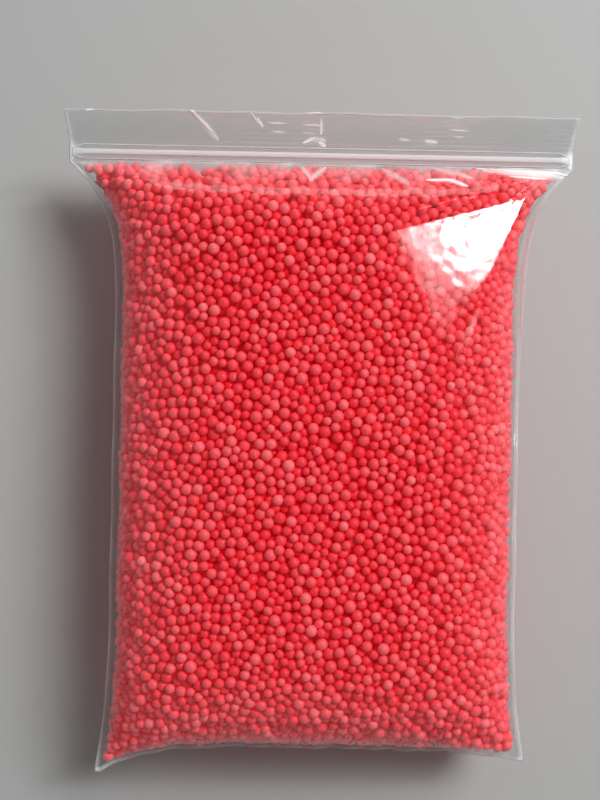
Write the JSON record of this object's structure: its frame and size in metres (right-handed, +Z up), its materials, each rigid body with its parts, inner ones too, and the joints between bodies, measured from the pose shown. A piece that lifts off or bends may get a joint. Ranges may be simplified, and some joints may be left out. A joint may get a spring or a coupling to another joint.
{
  "type": "press-seal bag of polystyrene beads",
  "caption": "Clear press-seal film bag packed tight with small red foam beads, lying on its back, with a closed zip and open lips at the mouth and a folded bottom.",
  "frame": {"origin": "middle of the bag's outer box, on the surface that it lies on", "axes": "+Y along the bag from the bottom fold towards the zip, +X across the bag, +Z up through the front face"},
  "size_m": [0.14, 0.18, 0.048],
  "materials": {
    "clear_film": "clear thin polyethylene film, glossy, slightly milky at the zip, the welds and the bottom fold",
    "red_foam": "matt dyed expanded polystyrene, coral red with deeper red between the beads"
  },
  "bodies": {
    "root": {"bag_film": "clear_film", "bead_fill": "red_foam"}
  },
  "joints": []
}
